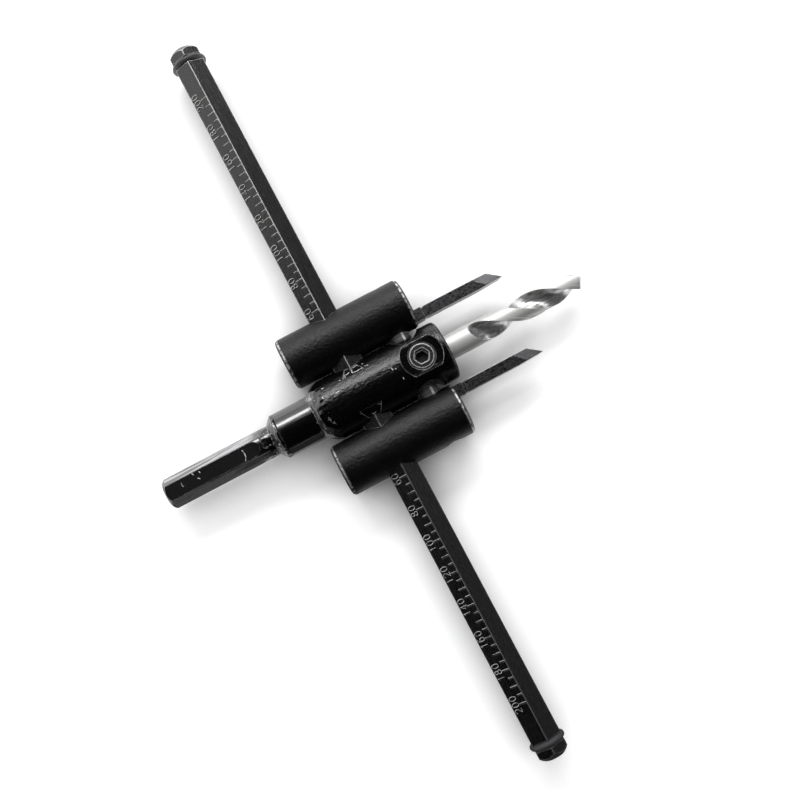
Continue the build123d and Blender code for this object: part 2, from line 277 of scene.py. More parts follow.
class StudioSettings(bpy.types.PropertyGroup):
    """Floor, lamps and camera"""

    paper: colour("Paper", "White studio paper", "#f4f4f4")
    black_card: colour("Black card", "Card overhead and behind", "#050505")
    grey_card: colour("Grey card", "Card beyond the drill's point", "#8c8c8c")
    # Painted shade of the -Y floor, seen only in the metal
    dim_card: colour("Dim card", "Card on the floor on the -Y side", "#606060")
    key_power: bpy.props.FloatProperty(
        name="Key power", description="Power of the long lamp on the +Y side", unit="POWER",
        default=4.0,
    )
    key_lean: bpy.props.FloatProperty(
        name="Key lean", description="The long lamp's angle from overhead toward +Y",
        unit="ROTATION", default=math.radians(49),
    )
    key_distance: length("Key distance", "Distance of the long lamp from the tool", 750)
    key_length: length("Key length", "Length of the long lamp, along the tool", 800)
    key_width: length("Key width", "Width of the long lamp", 180)
    key_shift: length("Key shift", "Shift of the long lamp toward the drill's point", 240)
    dark_reach: bpy.props.FloatProperty(
        name="Dark overhead", unit="ROTATION", default=math.radians(30),
        description="How far past overhead the black card reaches, toward +Y",
    )
    paper_lift: bpy.props.FloatProperty(
        name="Paper lift", description="Light added to the paper that the camera sees",
        default=0.45,
    )
    soft_power: bpy.props.FloatProperty(
        name="Soft power", description="Power of the soft lamp overhead, unseen in the metal",
        unit="POWER", default=7.0,
    )
    sky: bpy.props.FloatProperty(
        name="Room light", description="Strength of the white room", default=1.0
    )
    camera_place: bpy.props.FloatVectorProperty(
        name="Camera place", description="Where the camera stands", subtype="TRANSLATION",
        unit="LENGTH", precision=5, default=(0.05703, -0.03053, 0.29977),
    )
    camera_turn: bpy.props.FloatVectorProperty(
        name="Camera turn", description="The camera's angles", subtype="EULER", unit="ROTATION",
        default=(math.radians(5.218), math.radians(-0.155), math.radians(-27.932)),
    )
    lens: bpy.props.FloatProperty(
        name="Lens", description="Focal length", unit="CAMERA", default=47.5
    )


def add_node(tree, kind, sockets=None, **settings):
    """Add a node with its settings, and set or link its input sockets."""
    node = tree.nodes.new(kind)
    for name, value in settings.items():
        setattr(node, name, value)
    for socket, value in (sockets or {}).items():
        if isinstance(value, bpy.types.NodeSocket):
            tree.links.new(value, node.inputs[socket])
        else:
            node.inputs[socket].default_value = value
    return node


def new_material(name):
    """Empty material, and its node tree."""
    material = bpy.data.materials.new(name)
    material.use_nodes = True
    material.node_tree.nodes.clear()
    return material, material.node_tree


def show(tree, shader):
    """Put a shader on the material's surface."""
    add_node(tree, "ShaderNodeOutputMaterial", {"Surface": shader})


def object_place(tree):
    """Object coordinates, in metres."""
    return add_node(tree, "ShaderNodeTexCoord").outputs["Object"]


def product(tree, vector, factors):
    """A vector times a factor along each axis."""
    sockets = {0: vector, 1: factors}
    return add_node(tree, "ShaderNodeVectorMath", sockets, operation="MULTIPLY").outputs[0]


def grains(tree, factors, detail=2.0, roughness=0.5):
    """Noise with grains one millimetre over the factor wide: one factor, or one for each axis."""
    if not isinstance(factors, tuple):
        factors = (factors, factors, factors)
    stretched = product(tree, object_place(tree), [factor / MM for factor in factors])
    sockets = {"Vector": stretched, "Scale": 1.0, "Detail": detail, "Roughness": roughness}
    return add_node(tree, "ShaderNodeTexNoise", sockets).outputs["Fac"]


def between(tree, value, low, high, out_low=0.0, out_high=1.0):
    """Map a value from one range to another, clamped."""
    sockets = {"Value": value, 1: low, 2: high, 3: out_low, 4: out_high}
    return add_node(tree, "ShaderNodeMapRange", sockets).outputs["Result"]


def maths(tree, operation, first, second):
    """Sum, product or other operation on two values."""
    return add_node(tree, "ShaderNodeMath", {0: first, 1: second}, operation=operation).outputs[0]


def blended(tree, factor, first, second):
    """Mix of two colours."""
    sockets = {"Factor": factor, 6: first, 7: second}
    return add_node(tree, "ShaderNodeMix", sockets, data_type="RGBA").outputs[2]


def edges(tree, width, sharp=0.92, blunt=0.985):
    """Mask that is one along sharp edges and zero elsewhere, and the normal rounded over them."""
    rounded = add_node(tree, "ShaderNodeBevel", {"Radius": width}, samples=5).outputs[0]
    flat = add_node(tree, "ShaderNodeNewGeometry").outputs["Normal"]
    same = add_node(tree, "ShaderNodeVectorMath", {0: rounded, 1: flat}, operation="DOT_PRODUCT")
    return between(tree, same.outputs["Value"], blunt, sharp), rounded


def bumped(tree, height, depth, normal=None):
    """Normal of a surface with bumps of a real depth in millimetres."""
    sockets = {"Height": height, "Distance": depth * MM, "Strength": 1.0}
    if normal is not None:
        sockets["Normal"] = normal
    return add_node(tree, "ShaderNodeBump", sockets).outputs[0]


def chipped(tree, wear, factors, low, high):
    """Worn edges, broken into chips of bare steel."""
    chips = between(tree, grains(tree, factors, 4.0, 0.65), low, high)
    return maths(tree, "MULTIPLY", wear, chips)


def worn_roughness(tree, worn, noise, smooth, rough):
    """Roughness of oxide, varied by a noise, and of the bare steel at its worn edges."""
    whole = between(tree, noise, *NOISE_SPAN, smooth, rough)
    return maths(tree, "MAXIMUM", whole, maths(tree, "MULTIPLY", worn, BARE_ROUGHNESS))


def rise(tree, axis, start, end, out_low=0.0, out_high=1.0):
    """Rise from one value to another between two places along an axis, in millimetres."""
    part = add_node(tree, "ShaderNodeSeparateXYZ", {0: object_place(tree)}).outputs[axis]
    return between(tree, part, start * MM, end * MM, out_low, out_high)


def band(tree, places):
    """One inside a band along the tool and zero outside it, from its four places."""
    return maths(tree, "SUBTRACT", rise(tree, "X", *places[:2]), rise(tree, "X", *places[2:]))


def outward(tree, start, end):
    """Rise from zero to one between two distances from the tool's axis, in millimetres."""
    flat = product(tree, object_place(tree), (0.0, 1.0, 1.0))
    distance = add_node(tree, "ShaderNodeVectorMath", {0: flat}, operation="LENGTH")
    return between(tree, distance.outputs["Value"], start * MM, end * MM)


def surface(tree, sockets):
    """Principled surface with its sockets set or linked."""
    show(tree, add_node(tree, "ShaderNodeBsdfPrincipled", sockets).outputs[0])


def oiled_black_oxide(finish):
    """Turned steel, blackened and oiled: near black and glossy, with fine scores along it.

    Hammered dimples on neck and shoulder throw hard glints, and bare bruises there are partly
    painted glints; the drill's chuck has rubbed the sides of the shank down to grey steel.
    """
    material, tree = new_material("turned steel, oiled black oxide")
    wear, rounded = edges(tree, finish.wear_width)
    lines = grains(tree, (0.10, 7.0, 7.0))
    scored = bumped(tree, lines, 0.006, normal=rounded)
    wavy = bumped(tree, grains(tree, (0.35, 0.9, 0.9)), 0.02, normal=scored)
    dented = maths(tree, "MAXIMUM", rise(tree, "X", *SHOULDER), band(tree, NECK))
    dimples = maths(tree, "MULTIPLY", dented, grains(tree, 0.55, 0.0))
    dimpled = bumped(tree, dimples, 0.60, normal=wavy)
    # Bare bruises on neck and shoulder: worn spots, and partly painted glints
    bruise_glint_noise = between(tree, grains(tree, 0.5, 3.0, 0.62), 0.615, 0.64, 0.0, 0.9)
    bruise_glints = maths(tree, "MULTIPLY", dented, bruise_glint_noise)
    worn = maths(tree, "MAXIMUM", chipped(tree, wear, 1.1, 0.38, 0.52), bruise_glints)
    # The chuck's finer scores are drawn a millimetre apart, so that they show
    scores = between(tree, grains(tree, (0.05, 0.9, 0.9), 2.0, 0.6), 0.44, 0.50, 0.10, 1.0)
    top = rise(tree, "Z", *SHANK_TOP)
    side_rubs = maths(tree, "MULTIPLY", scores, maths(tree, "SUBTRACT", 1.0, top))
    rubs = maths(tree, "ADD", side_rubs, maths(tree, "MULTIPLY", top, 0.02))
    rubbed = maths(tree, "MULTIPLY", band(tree, SHANK), rubs)
    steel = blended(tree, rubbed, tuple(finish.oxide), tuple(finish.rubbed))
    surface(tree, {
        "Base Color": blended(tree, worn, steel, tuple(finish.bare)),
        "Metallic": maths(tree, "MAXIMUM", worn, rubbed), "IOR": 2.0, "Normal": dimpled,
        "Roughness": worn_roughness(tree, worn, lines, 0.14, 0.22),
    })
    return material


def handled_black_oxide(finish):
    """The same oxide on the body, duller from handling: a soft broken line of light on black."""
    material, tree = new_material("turned steel, handled black oxide")
    wear, rounded = edges(tree, finish.wear_width)
    streaks = grains(tree, (0.12, 3.0, 3.0), 3.0)
    scored = bumped(tree, streaks, 0.012, normal=rounded)
    turned = outward(tree, *BODY_ROUND)
    pits = between(tree, grains(tree, 1.0, 3.0, 0.6), 0.40, 0.62)
    pitted = bumped(tree, maths(tree, "MULTIPLY", pits, turned), 0.045, normal=scored)
    worn = chipped(tree, wear, 1.1, 0.36, 0.50)
    surface(tree, {
        "Base Color": blended(tree, worn, tuple(finish.oxide), tuple(finish.bare)),
        "Metallic": worn, "IOR": between(tree, turned, 0.0, 1.0, 1.25, 1.55), "Normal": pitted,
        "Roughness": worn_roughness(tree, worn, streaks, 0.16, 0.30),
    })
    return material


def dull_black_oxide(finish):
    """Turned steel, blackened without polish: satin black, speckled where pits catch the light."""
    material, tree = new_material("turned steel, dull black oxide")
    wear, rounded = edges(tree, finish.wear_width)
    streaks = grains(tree, (0.12, 3.5, 3.5))
    scored = bumped(tree, streaks, 0.010, normal=rounded)
    pits = between(tree, grains(tree, 1.3, 3.0, 0.62), 0.38, 0.64)
    pitted = bumped(tree, pits, 0.070, normal=scored)
    # Bands of bare steel near both ends: wear, and painted highlight lines along the end roundings
    ends = maths(tree, "MAXIMUM", band(tree, REAR_WEAR_GLINT), band(tree, FRONT_WEAR_GLINT))
    worn = chipped(tree, maths(tree, "MAXIMUM", wear, ends), 0.8, 0.42, 0.56)
    surface(tree, {
        "Base Color": blended(tree, worn, tuple(finish.oxide), tuple(finish.bare)),
        "Metallic": worn, "IOR": 1.46, "Normal": pitted,
        "Roughness": worn_roughness(tree, worn, streaks, 0.36, 0.50),
    })
    return material


def drawn_black_oxide(finish):
    """Blackened drawn hex bar: satin, fine lines along it, worn corners partly painted highlight.
    """
    material, tree = new_material("drawn steel bar, black oxide")
    wear, rounded = edges(tree, 1.7 * finish.wear_width, 0.975, 0.998)
    lines = grains(tree, (6.0, 0.12, 6.0))
    lined = bumped(tree, lines, 0.005, normal=rounded)
    pits = between(tree, grains(tree, (2.0, 1.2, 2.0), 3.0, 0.6), 0.38, 0.62)
    pitted = bumped(tree, pits, 0.012, normal=lined)
    # The scale's grooves keep their oxide: only corners and ends wear, partly painted highlight
    corners = band(tree, BAR_CORNER_WEAR_GLINT)
    for axis, start, end, sign in BAR_WEAR:
        corners = maths(tree, "MAXIMUM", corners, rise(tree, axis, start, end, -sign, sign))
    # The worn corners' painted highlight is dimmer on the -Y arm, as painted shade
    handled = rise(tree, "Y", -20, 20, 0.25, 1.0)
    worn = maths(tree, "MULTIPLY", chipped(tree, wear, (1.4, 0.5, 1.4), 0.26, 0.44), handled)
    worn = maths(tree, "MULTIPLY", worn, corners)
    surface(tree, {
        "Base Color": blended(tree, worn, tuple(finish.bar_oxide), tuple(finish.bare)),
        "Metallic": maths(tree, "MULTIPLY", worn, 0.4), "IOR": 1.85, "Normal": pitted,
        "Roughness": worn_roughness(tree, worn, lines, 0.20, 0.32),
    })
    return material


def nitrile_rubber(finish):
    """Moulded nitrile: black gone grey, with a soft sheen."""
    material, tree = new_material("nitrile rubber, moulded")
    surface(tree, {
        "Base Color": tuple(finish.rubber), "Roughness": 0.38, "IOR": 1.52,
        "Normal": bumped(tree, grains(tree, 2.5), 0.02),
    })
    return material


def ground_tool_steel(finish):
    """Hardened tool steel, its scale half ground off: mottled dark grey, paler where fresh."""
    material, tree = new_material("hardened tool steel, ground")
    wear, rounded = edges(tree, finish.wear_width)
    lined = bumped(tree, grains(tree, (0.6, 4.0, 4.0)), 0.010, normal=rounded)
    skin = between(tree, grains(tree, (1.3, 1.8, 1.8), 4.0, 0.65), 0.36, 0.62)
    fresh = maths(tree, "MULTIPLY", rise(tree, "X", *BLADE_FACET), 0.75)
    ground = maths(tree, "MAXIMUM", skin, fresh)
    steel = blended(tree, ground, tuple(finish.blade_scale), tuple(finish.tool_steel))
    surface(tree, {
        "Base Color": blended(tree, wear, steel, tuple(finish.bare)),
        "Metallic": 1.0, "Roughness": between(tree, ground, 0.0, 1.0, 0.42, 0.30),
        "Normal": bumped(tree, ground, 0.030, normal=lined),
    })
    return material


def threaded_alloy_steel(finish):
    """Alloy steel screw side, faintly thread-ringed: roots in painted shade, one side painted
    highlight.
    """
    material, tree = new_material("alloy steel screw, threaded")
    # The wave repeats whenever its scaled place grows by two pi over twenty
    thread = add_node(tree, "ShaderNodeTexWave", {
        "Vector": object_place(tree), "Scale": 2 * math.pi / 20 / THREAD_PITCH / MM,
    }, bands_direction="Y").outputs["Fac"]
    marks = bumped(tree, grains(tree, 2.5, 3.0), 0.010)
    # Thread roots painted darker than crests as shade, and a pale band painted as highlight
    side = blended(tree, thread, tuple(finish.thread_root), tuple(finish.thread_crest))
    surface(tree, {
        "Base Color": blended(tree, band(tree, SCREW_HIGHLIGHT), side, tuple(finish.screw_steel)),
        "Metallic": 0.5, "Roughness": between(tree, thread, 0.0, 1.0, 0.42, 0.32),
        "Normal": bumped(tree, thread, 0.05, normal=marks),
    })
    return material


def keyed_alloy_steel(finish):
    """Alloy steel screw end, black inside, its chamfer and socket rims worn and partly painted
    highlight.
    """
    material, tree = new_material("alloy steel screw, keyed end")
    wear, rounded = edges(tree, 2.2 * finish.wear_width, 0.965, 0.998)
    marks = grains(tree, 2.5, 3.0)
    # Worn rims, mostly matt bright steel: partly painted highlight
    bright = maths(tree, "MULTIPLY", wear, between(tree, marks, 0.30, 0.50, 0.5, 1.0))
    surface(tree, {
        "Base Color": blended(tree, bright, tuple(finish.oxide), tuple(finish.bare)),
        "Metallic": maths(tree, "MULTIPLY", bright, 0.2), "IOR": 1.8,
        "Normal": bumped(tree, marks, 0.010, normal=rounded),
        "Roughness": worn_roughness(tree, bright, marks, 0.25, 0.35),
    })
    return material


def ground_high_speed_steel(finish):
    """High-speed steel, ground: bright and soft on the round, darker and keener in the flutes."""
    material, tree = new_material("high-speed steel, bright ground")
    land = outward(tree, *DRILL_ROUND)
    streaks = grains(tree, (0.45, 2.2, 2.2), 3.0)
    ringed = bumped(tree, grains(tree, (9.0, 0.4, 0.4)), 0.004)
    grinding = between(tree, streaks, *NOISE_SPAN, -0.05, 0.05)
    hatch = between(tree, grains(tree, (0.35, 1.4, 1.4), 1.0), 0.38, 0.60)
    hatched = blended(tree, hatch, tuple(finish.flute_dark), tuple(finish.flute_light))
    surface(tree, {
        "Base Color": blended(tree, land, hatched, tuple(finish.speed_steel)),
        "Metallic": between(tree, land, 0.0, 1.0, 0.85, 0.58),
        "Roughness": maths(tree, "ADD", between(tree, land, 0.0, 1.0, 0.32, 0.52), grinding),
        "Normal": bumped(tree, streaks, 0.020, normal=ringed),
    })
    return material


def stamped_bare_steel(finish):
    """Burr from stamp and engraver, oxide rubbed off: a pale broken line, partly painted glint."""
    material, tree = new_material("bare steel burr, painted glint")
    broken = between(tree, grains(tree, 1.2), 0.34, 0.50)
    surface(tree, {
        "Base Color": blended(tree, broken, tuple(finish.dull_burr), tuple(finish.bare)),
        "Metallic": 0.3, "Roughness": 0.5, "Normal": bumped(tree, grains(tree, 6.0), 0.01),
    })
    return material


def stamped_groove(finish):
    """Stamped groove, oxidised and full of oil, with painted shade: the blackest of the bar."""
    material, tree = new_material("black oxide groove, painted shade")
    surface(tree, {
        "Base Color": tuple(finish.oxide), "Roughness": 0.6, "IOR": 1.4,
        "Normal": bumped(tree, grains(tree, 6.0), 0.01),
    })
    return material


def white_paper(studio):
    """Studio paper, white to the camera and to the metal, that still takes the shadow."""
    material, tree = new_material("white studio paper")
    path = add_node(tree, "ShaderNodeLightPath")
    seen = maths(tree, "ADD", path.outputs["Is Camera Ray"], path.outputs["Is Glossy Ray"])
    seen = maths(tree, "ADD", seen, path.outputs["Is Transmission Ray"])
    paper = add_node(tree, "ShaderNodeBsdfDiffuse", {"Color": tuple(studio.paper)})
    # Nothing is added close under the tool, so the contact shadow stays dark
    open_air = add_node(tree, "ShaderNodeAmbientOcclusion", {"Distance": CONTACT_REACH}, samples=8)
    lit = between(tree, open_air.outputs["AO"], 0.40, 0.90, 0.0, studio.paper_lift)
    lift = add_node(tree, "ShaderNodeEmission", {"Strength": maths(tree, "MULTIPLY", seen, lit)})
    both = add_node(tree, "ShaderNodeAddShader", {0: paper.outputs[0], 1: lift.outputs[0]})
    show(tree, both.outputs[0])
    return material


def studio_card(name, shade):
    """Matt card that darkens what the metal reflects."""
    material, tree = new_material(name)
    card = add_node(tree, "ShaderNodeBsdfDiffuse", {"Color": tuple(shade)})
    show(tree, card.outputs[0])
    return material


def give(nodes, material):
    """Put one material on CAD nodes."""
    for name in nodes:
        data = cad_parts[name].data
        data.materials.clear()
        data.materials.append(material)
        for face in data.polygons:
            face.material_index = 0


def mesh_object(name, points, faces, material):
    """New object in the scene, from points and faces, with one material."""
    data = bpy.data.meshes.new(name)
    data.from_pydata(points, [], faces)
    data.materials.append(material)
    made = bpy.data.objects.new(name, data)
    bpy.context.scene.collection.objects.link(made)
    return made


def mesh_piece(name, points, faces, material, body):
    """New piece of the cutter from points and faces in the CAD frame."""
    piece = mesh_object(name, points, faces, material)
    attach(piece, body)
    return piece


def tube(rings):
    """Faces of a tube through rings of point numbers, closed at both ends."""
    faces = []
    for ring, following in zip(rings, rings[1:]):
        for here in range(len(ring)):
            after = (here + 1) % len(ring)
            faces.append((ring[here], ring[after], following[after], following[here]))
    return faces + [tuple(reversed(rings[0])), tuple(rings[-1])]


def stroke_piece(name, lines, width, height, material):
    """Rounded strokes on steel, along lines of places that each have their direction out of it."""
    points = []
    faces = []
    for line in lines:
        rings = []
        for index, (place, out) in enumerate(line):
            before = line[max(index - 1, 0)][0]
            after = line[min(index + 1, len(line) - 1)][0]
            across = out.cross(after - before).normalized()
            ring = []
            for side in range(STROKE_SIDES):
                angle = 2 * math.pi * (side + 0.5) / STROKE_SIDES
                ring.append(len(points))
                points.append(place + across * (math.cos(angle) * width / 2)
                              + out * (math.sin(angle) * height))
            rings.append(ring)
        faces += tube(rings)
    mesh_piece(name, points, faces, material, "frame")


def arc(cx, cy, rx, ry, start, end, count):
    """Points on an ellipse, from one angle in degrees to another."""
    turns = [math.radians(start + (end - start) * i / count) for i in range(count + 1)]
    return [(cx + rx * math.cos(turn), cy + ry * math.sin(turn)) for turn in turns]


# Strokes of the digits, one unit wide and one unit high
DIGITS = {
    "0": [arc(0.5, 0.5, 0.42, 0.5, 90, 450, 14)],
    "1": [[(0.28, 0.78), (0.55, 1.0), (0.55, 0.0)]],
    "2": [arc(0.5, 0.68, 0.40, 0.32, 165, -35, 8) + [(0.1, 0.0), (0.92, 0.0)]],
    "4": [[(0.72, 0.0), (0.72, 1.0), (0.08, 0.32), (0.95, 0.32)]],
    "6": [arc(0.62, 0.62, 0.50, 0.38, 80, 180, 5) + arc(0.5, 0.32, 0.38, 0.32, 180, 540, 12)],
    "8": [arc(0.5, 0.75, 0.33, 0.25, 270, 630, 10), arc(0.5, 0.25, 0.40, 0.25, 90, 450, 12)],
}

BAR_TOP = Vector((middle("scale_bar").x, 0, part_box("scale_bar")[1][2]))
FLAT_SLOPE = math.radians(30)
DOWN_FLAT = Vector((-math.cos(FLAT_SLOPE), 0, -math.sin(FLAT_SLOPE)))
OUT_OF_FLAT = Vector((-math.sin(FLAT_SLOPE), 0, math.cos(FLAT_SLOPE)))


def on_flat(y, along):
    """Place on the bar's scale flat, at a distance from its top corner, and the way out of it."""
    return BAR_TOP + Vector((0, y, 0)) + DOWN_FLAT * along, OUT_OF_FLAT


def on_shank(x, y):
    """Place on the shank's top flat, and the way out of it."""
    return Vector((x, y, SHANK_FLAT)) * MM, Vector((0, 0, 1))


def on_body(x, degrees):
    """Place on the body at an angle from the top toward +Y, and the way out of it there."""
    angle = math.radians(degrees)
    radius = BODY_RADIUS
    if abs(x - STAKE_X) < STAKE_LENGTH / 2:
        lean = abs(angle) - math.radians(STAKE_ANGLE)
        radius = min(radius, (BODY_RADIUS - STAKE_DEPTH) / math.cos(lean))
    out = Vector((0, math.sin(angle), math.cos(angle)))
    return (Vector((x, 0, 0)) + out * radius) * MM, out


class CUTTER_OT_black_oxide(bpy.types.Operator):
    """Give arbor and carriers black oxide, and the arbor its burrs and nicks, partly painted
    glints
    """

    bl_idname = "cutter.black_oxide"
    bl_label = "Arbor and carriers"

    def execute(self, context):
        finish = context.scene.cutter_finish
        give(("arbor",), oiled_black_oxide(finish))
        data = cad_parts["arbor"].data
        data.materials.append(handled_black_oxide(finish))
        for face in data.polygons:
            if face.center.x > BODY_START * MM:
                face.material_index = 1
        give(CARRIERS, dull_black_oxide(finish))
        # Bright strokes of burrs and nicks, partly painted glints
        lines = [[on_body(x, angle) for x, angle in line] for line in STAKE_BURR_GLINTS + BODY_NICK_GLINTS]
        lines += [[on_shank(x, y) for x, y in line] for line in SHANK_NICKS]
        stroke_piece("arbor_burr_glints", lines, NICK_WIDTH * MM, NICK_HEIGHT * MM,
                     stamped_bare_steel(finish))
        return {"FINISHED"}


class CUTTER_OT_bar(bpy.types.Operator):
    """Give the cross bar its satin black oxide, and its stop rings their rubber"""

    bl_idname = "cutter.bar"
    bl_label = "Cross bar and rings"

    def execute(self, context):
        finish = context.scene.cutter_finish
        give(("scale_bar",), drawn_black_oxide(finish))
        give(RINGS, nitrile_rubber(finish))
        return {"FINISHED"}


class CUTTER_OT_scale(bpy.types.Operator):
    """Raise bright burrs, partly painted highlight, beside the marks, and stamp the numbers under
    them
    """

    bl_idname = "cutter.scale"
    bl_label = "Scale"

    def execute(self, context):
        scale = context.scene.cutter_scale
        finish = context.scene.cutter_finish
        # Bright strokes beside the marks and digits are partly painted highlight of their lit
        # walls
        burr = stamped_bare_steel(finish)
        # The digits' dark strokes are oiled oxide and painted shade of their grooves
        groove = stamped_groove(finish)
        for name, side in (("a", 1), ("b", -1)):
            marks = []
            for index in range(scale.marks):
                span = SHORT_MARK if index % 2 else LONG_MARK
                y = side * (scale.first + index * scale.step) + scale.burr_shift
                marks.append([(y, MARK_START * MM), (y, (MARK_START + span) * MM)])
            self.strokes("scale_mark_lit_burrs_" + name, marks, scale.mark_burr, burr)
            digits = self.numbers(scale, side)
            self.strokes("scale_numbers_" + name, digits, scale.stroke, groove)
            shifted = [
                [(y + scale.burr_shift, along + scale.burr_shift / 2) for y, along in line]
                for line in digits
            ]
            self.strokes("scale_number_lit_burrs_" + name, shifted, scale.burr, burr)
        return {"FINISHED"}

    def numbers(self, scale, side):
        """Lines of one arm's numbers, as places along the arm and down the flat."""
        lines = []
        for index, number in enumerate(NUMBERS):
            text = str(number)
            centre = side * (scale.first + index * scale.label_step)
            start = centre - (len(text) - 1) * scale.digit_pitch / 2 - scale.digit_width / 2
            for place, digit in enumerate(text):
                left = start + place * scale.digit_pitch
                for line in DIGITS[digit]:
                    lines.append([
                        (left + u * scale.digit_width, scale.digit_base + v * scale.digit_height)
                        for u, v in line
                    ])
        return lines

    def strokes(self, name, lines, width, material):
        """Piece of strokes a little proud of the bar's scale flat."""
        placed = [[on_flat(y, along) for y, along in line] for line in lines]
        stroke_piece(name, placed, width, BURR_HEIGHT * MM, material)


class CUTTER_OT_blades(bpy.types.Operator):
    """Give the blades their ground tool steel"""

    bl_idname = "cutter.blades"
    bl_label = "Blades"

    def execute(self, context):
        give(BLADES, ground_tool_steel(context.scene.cutter_finish))
        return {"FINISHED"}


class CUTTER_OT_screws(bpy.types.Operator):
    """Give the set screws their worn alloy steel"""

    bl_idname = "cutter.screws"
    bl_label = "Set screws"

    def execute(self, context):
        finish = context.scene.cutter_finish
        give(BLADE_SCREWS, threaded_alloy_steel(finish))
        give(KEYED_SCREWS, keyed_alloy_steel(finish))
        return {"FINISHED"}


class CUTTER_OT_drill(bpy.types.Operator):
    """Give the pilot drill its bright ground steel"""

    bl_idname = "cutter.drill"
    bl_label = "Pilot drill"

    def execute(self, context):
        drill = context.scene.cutter_drill
        material = ground_high_speed_steel(context.scene.cutter_finish)
        give(("pilot_drill",), material)
        points, faces = self.ground_bar(drill)
        piece = mesh_piece("pilot_drill_ground", points, faces, material, "pilot_drill")
        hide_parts("pilot_drill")
        self.grind_point(piece.data, drill)
        piece.data.shade_smooth()
        piece.data.set_sharp_from_angle(angle=SHARP_ANGLE)
        return {"FINISHED"}

    def ground_bar(self, drill):
        """Round shank and twisted flutes, as one mesh of rings along the drill."""
        low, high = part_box("pilot_drill")
        tail, tip = low[0], high[0]
        chamfer = DRILL_CHAMFER * MM
        first = drill.flute_start - drill.run_out
        stations = [tail, tail + chamfer, tail + 2 * chamfer]
        stations += [first - 2 * chamfer, first - chamfer / 2]
        stations += [first + (tip - first) * step / DRILL_STEPS for step in range(DRILL_STEPS + 1)]
        points = []
        rings = []
        for x in stations:
            ring = []
            scale = 1 - chamfer / drill.radius if x == tail else 1
            turn = drill.phase + self.twist(drill, max(x, first))
            for radius, angle in self.outline(drill, x):
                ring.append(len(points))
                points.append((x, scale * radius * math.cos(angle + turn),
                               scale * radius * math.sin(angle + turn)))
            rings.append(ring)
        return points, tube(rings)

    def twist(self, drill, x):
        """Angle by which the flutes have turned at one place."""
        return 2 * math.pi * (x - drill.flute_start) / drill.pitch

    def outline(self, drill, x):
        """Drill's section at one place, as radii and angles, with one flute at zero."""
        back = min(max(drill.flute_start - x, 0.0) / drill.run_out, 1.0)
        lift = (drill.radius + drill.flute_radius - drill.flute_centre) * back ** 2
        centre = drill.flute_centre + lift
        land = drill.radius - drill.relief * (1 - back)
        lead = self.flute_edge(drill, centre, drill.radius)
        heel = self.flute_edge(drill, centre, land)
        half = []
        for step in range(FLUTE_STEPS + 1):
            angle = -lead + (lead + heel) * step / FLUTE_STEPS
            radius = drill.radius
            if back < 1:
                reach = max(drill.flute_radius ** 2 - (centre * math.sin(angle)) ** 2, 0.0)
                radius = min(centre * math.cos(angle) - math.sqrt(reach), radius)
            half.append((radius, angle))
        half[0] = (drill.radius, -lead)
        half[-1] = (land, heel)
        start = math.pi - lead - drill.margin
        for step in range(1, LAND_STEPS + 1):
            half.append((land, heel + (start - heel) * step / LAND_STEPS))
        for step in range(MARGIN_STEPS):
            half.append((drill.radius, start + drill.margin * step / MARGIN_STEPS))
        return half + [(radius, angle + math.pi) for radius, angle in half]

    def flute_edge(self, drill, centre, radius):
        """Angle between a flute's middle and its edge on a round of one radius."""
        cosine = (radius ** 2 + centre ** 2 - drill.flute_radius ** 2) / (2 * radius * centre)
        return max(math.acos(min(cosine, 1.0)), NARROWEST_FLUTE)

    def grind_point(self, data, drill):
        """Grind the two faces of the point, each falling away behind its lip."""
        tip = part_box("pilot_drill")[1][0]
        edge = self.flute_edge(drill, drill.flute_centre, drill.radius)
        shape = bmesh.new()
        shape.from_mesh(data)
        for side in (0, math.pi):
            lip = drill.phase + self.twist(drill, tip) + side + math.pi - edge
            normal = Vector((1, 0, 0))
            normal += Vector((0, math.cos(lip), math.sin(lip))) / math.tan(drill.point / 2)
            normal += Vector((0, math.sin(lip), -math.cos(lip))) * math.tan(drill.lip_relief)
            parts = shape.verts[:] + shape.edges[:] + shape.faces[:]
            cut = bmesh.ops.bisect_plane(
                shape, geom=parts, plane_co=(tip, 0, 0), plane_no=normal, clear_outer=True
            )
            rim = [part for part in cut["geom_cut"] if isinstance(part, bmesh.types.BMEdge)]
            bmesh.ops.edgenet_fill(shape, edges=rim)
        bmesh.ops.dissolve_degenerate(shape, edges=shape.edges[:], dist=MERGE_WIDTH * MM)
        shape.to_mesh(data)
        shape.free()


def panel(name, corners, material):
    """Flat four-cornered sheet of the studio."""
    sheet = mesh_object(name, corners, [(0, 1, 2, 3)], material)
    return sheet


def level_panel(name, span_x, span_y, z, material):
    """Level rectangular sheet of the studio."""
    (left, right), (near, far) = span_x, span_y
    corners = [(left, near, z), (right, near, z), (right, far, z), (left, far, z)]
    return panel(name, corners, material)


def area_lamp(name, place, target, size, power):
    """Soft rectangular lamp aimed at a point, its first side along X."""
    data = bpy.data.lights.new(name, "AREA")
    data.shape = "RECTANGLE"
    data.size, data.size_y = size
    data.energy = power
    lamp = bpy.data.objects.new(name, data)
    away = (Vector(place) - Vector(target)).normalized()
    side = Vector((1, 0, 0)) - away * away.x
    side.normalize()
    turn = Matrix((side, away.cross(side), away)).transposed()
    lamp.matrix_world = Matrix.Translation(place) @ turn.to_4x4()
    bpy.context.scene.collection.objects.link(lamp)
    return lamp


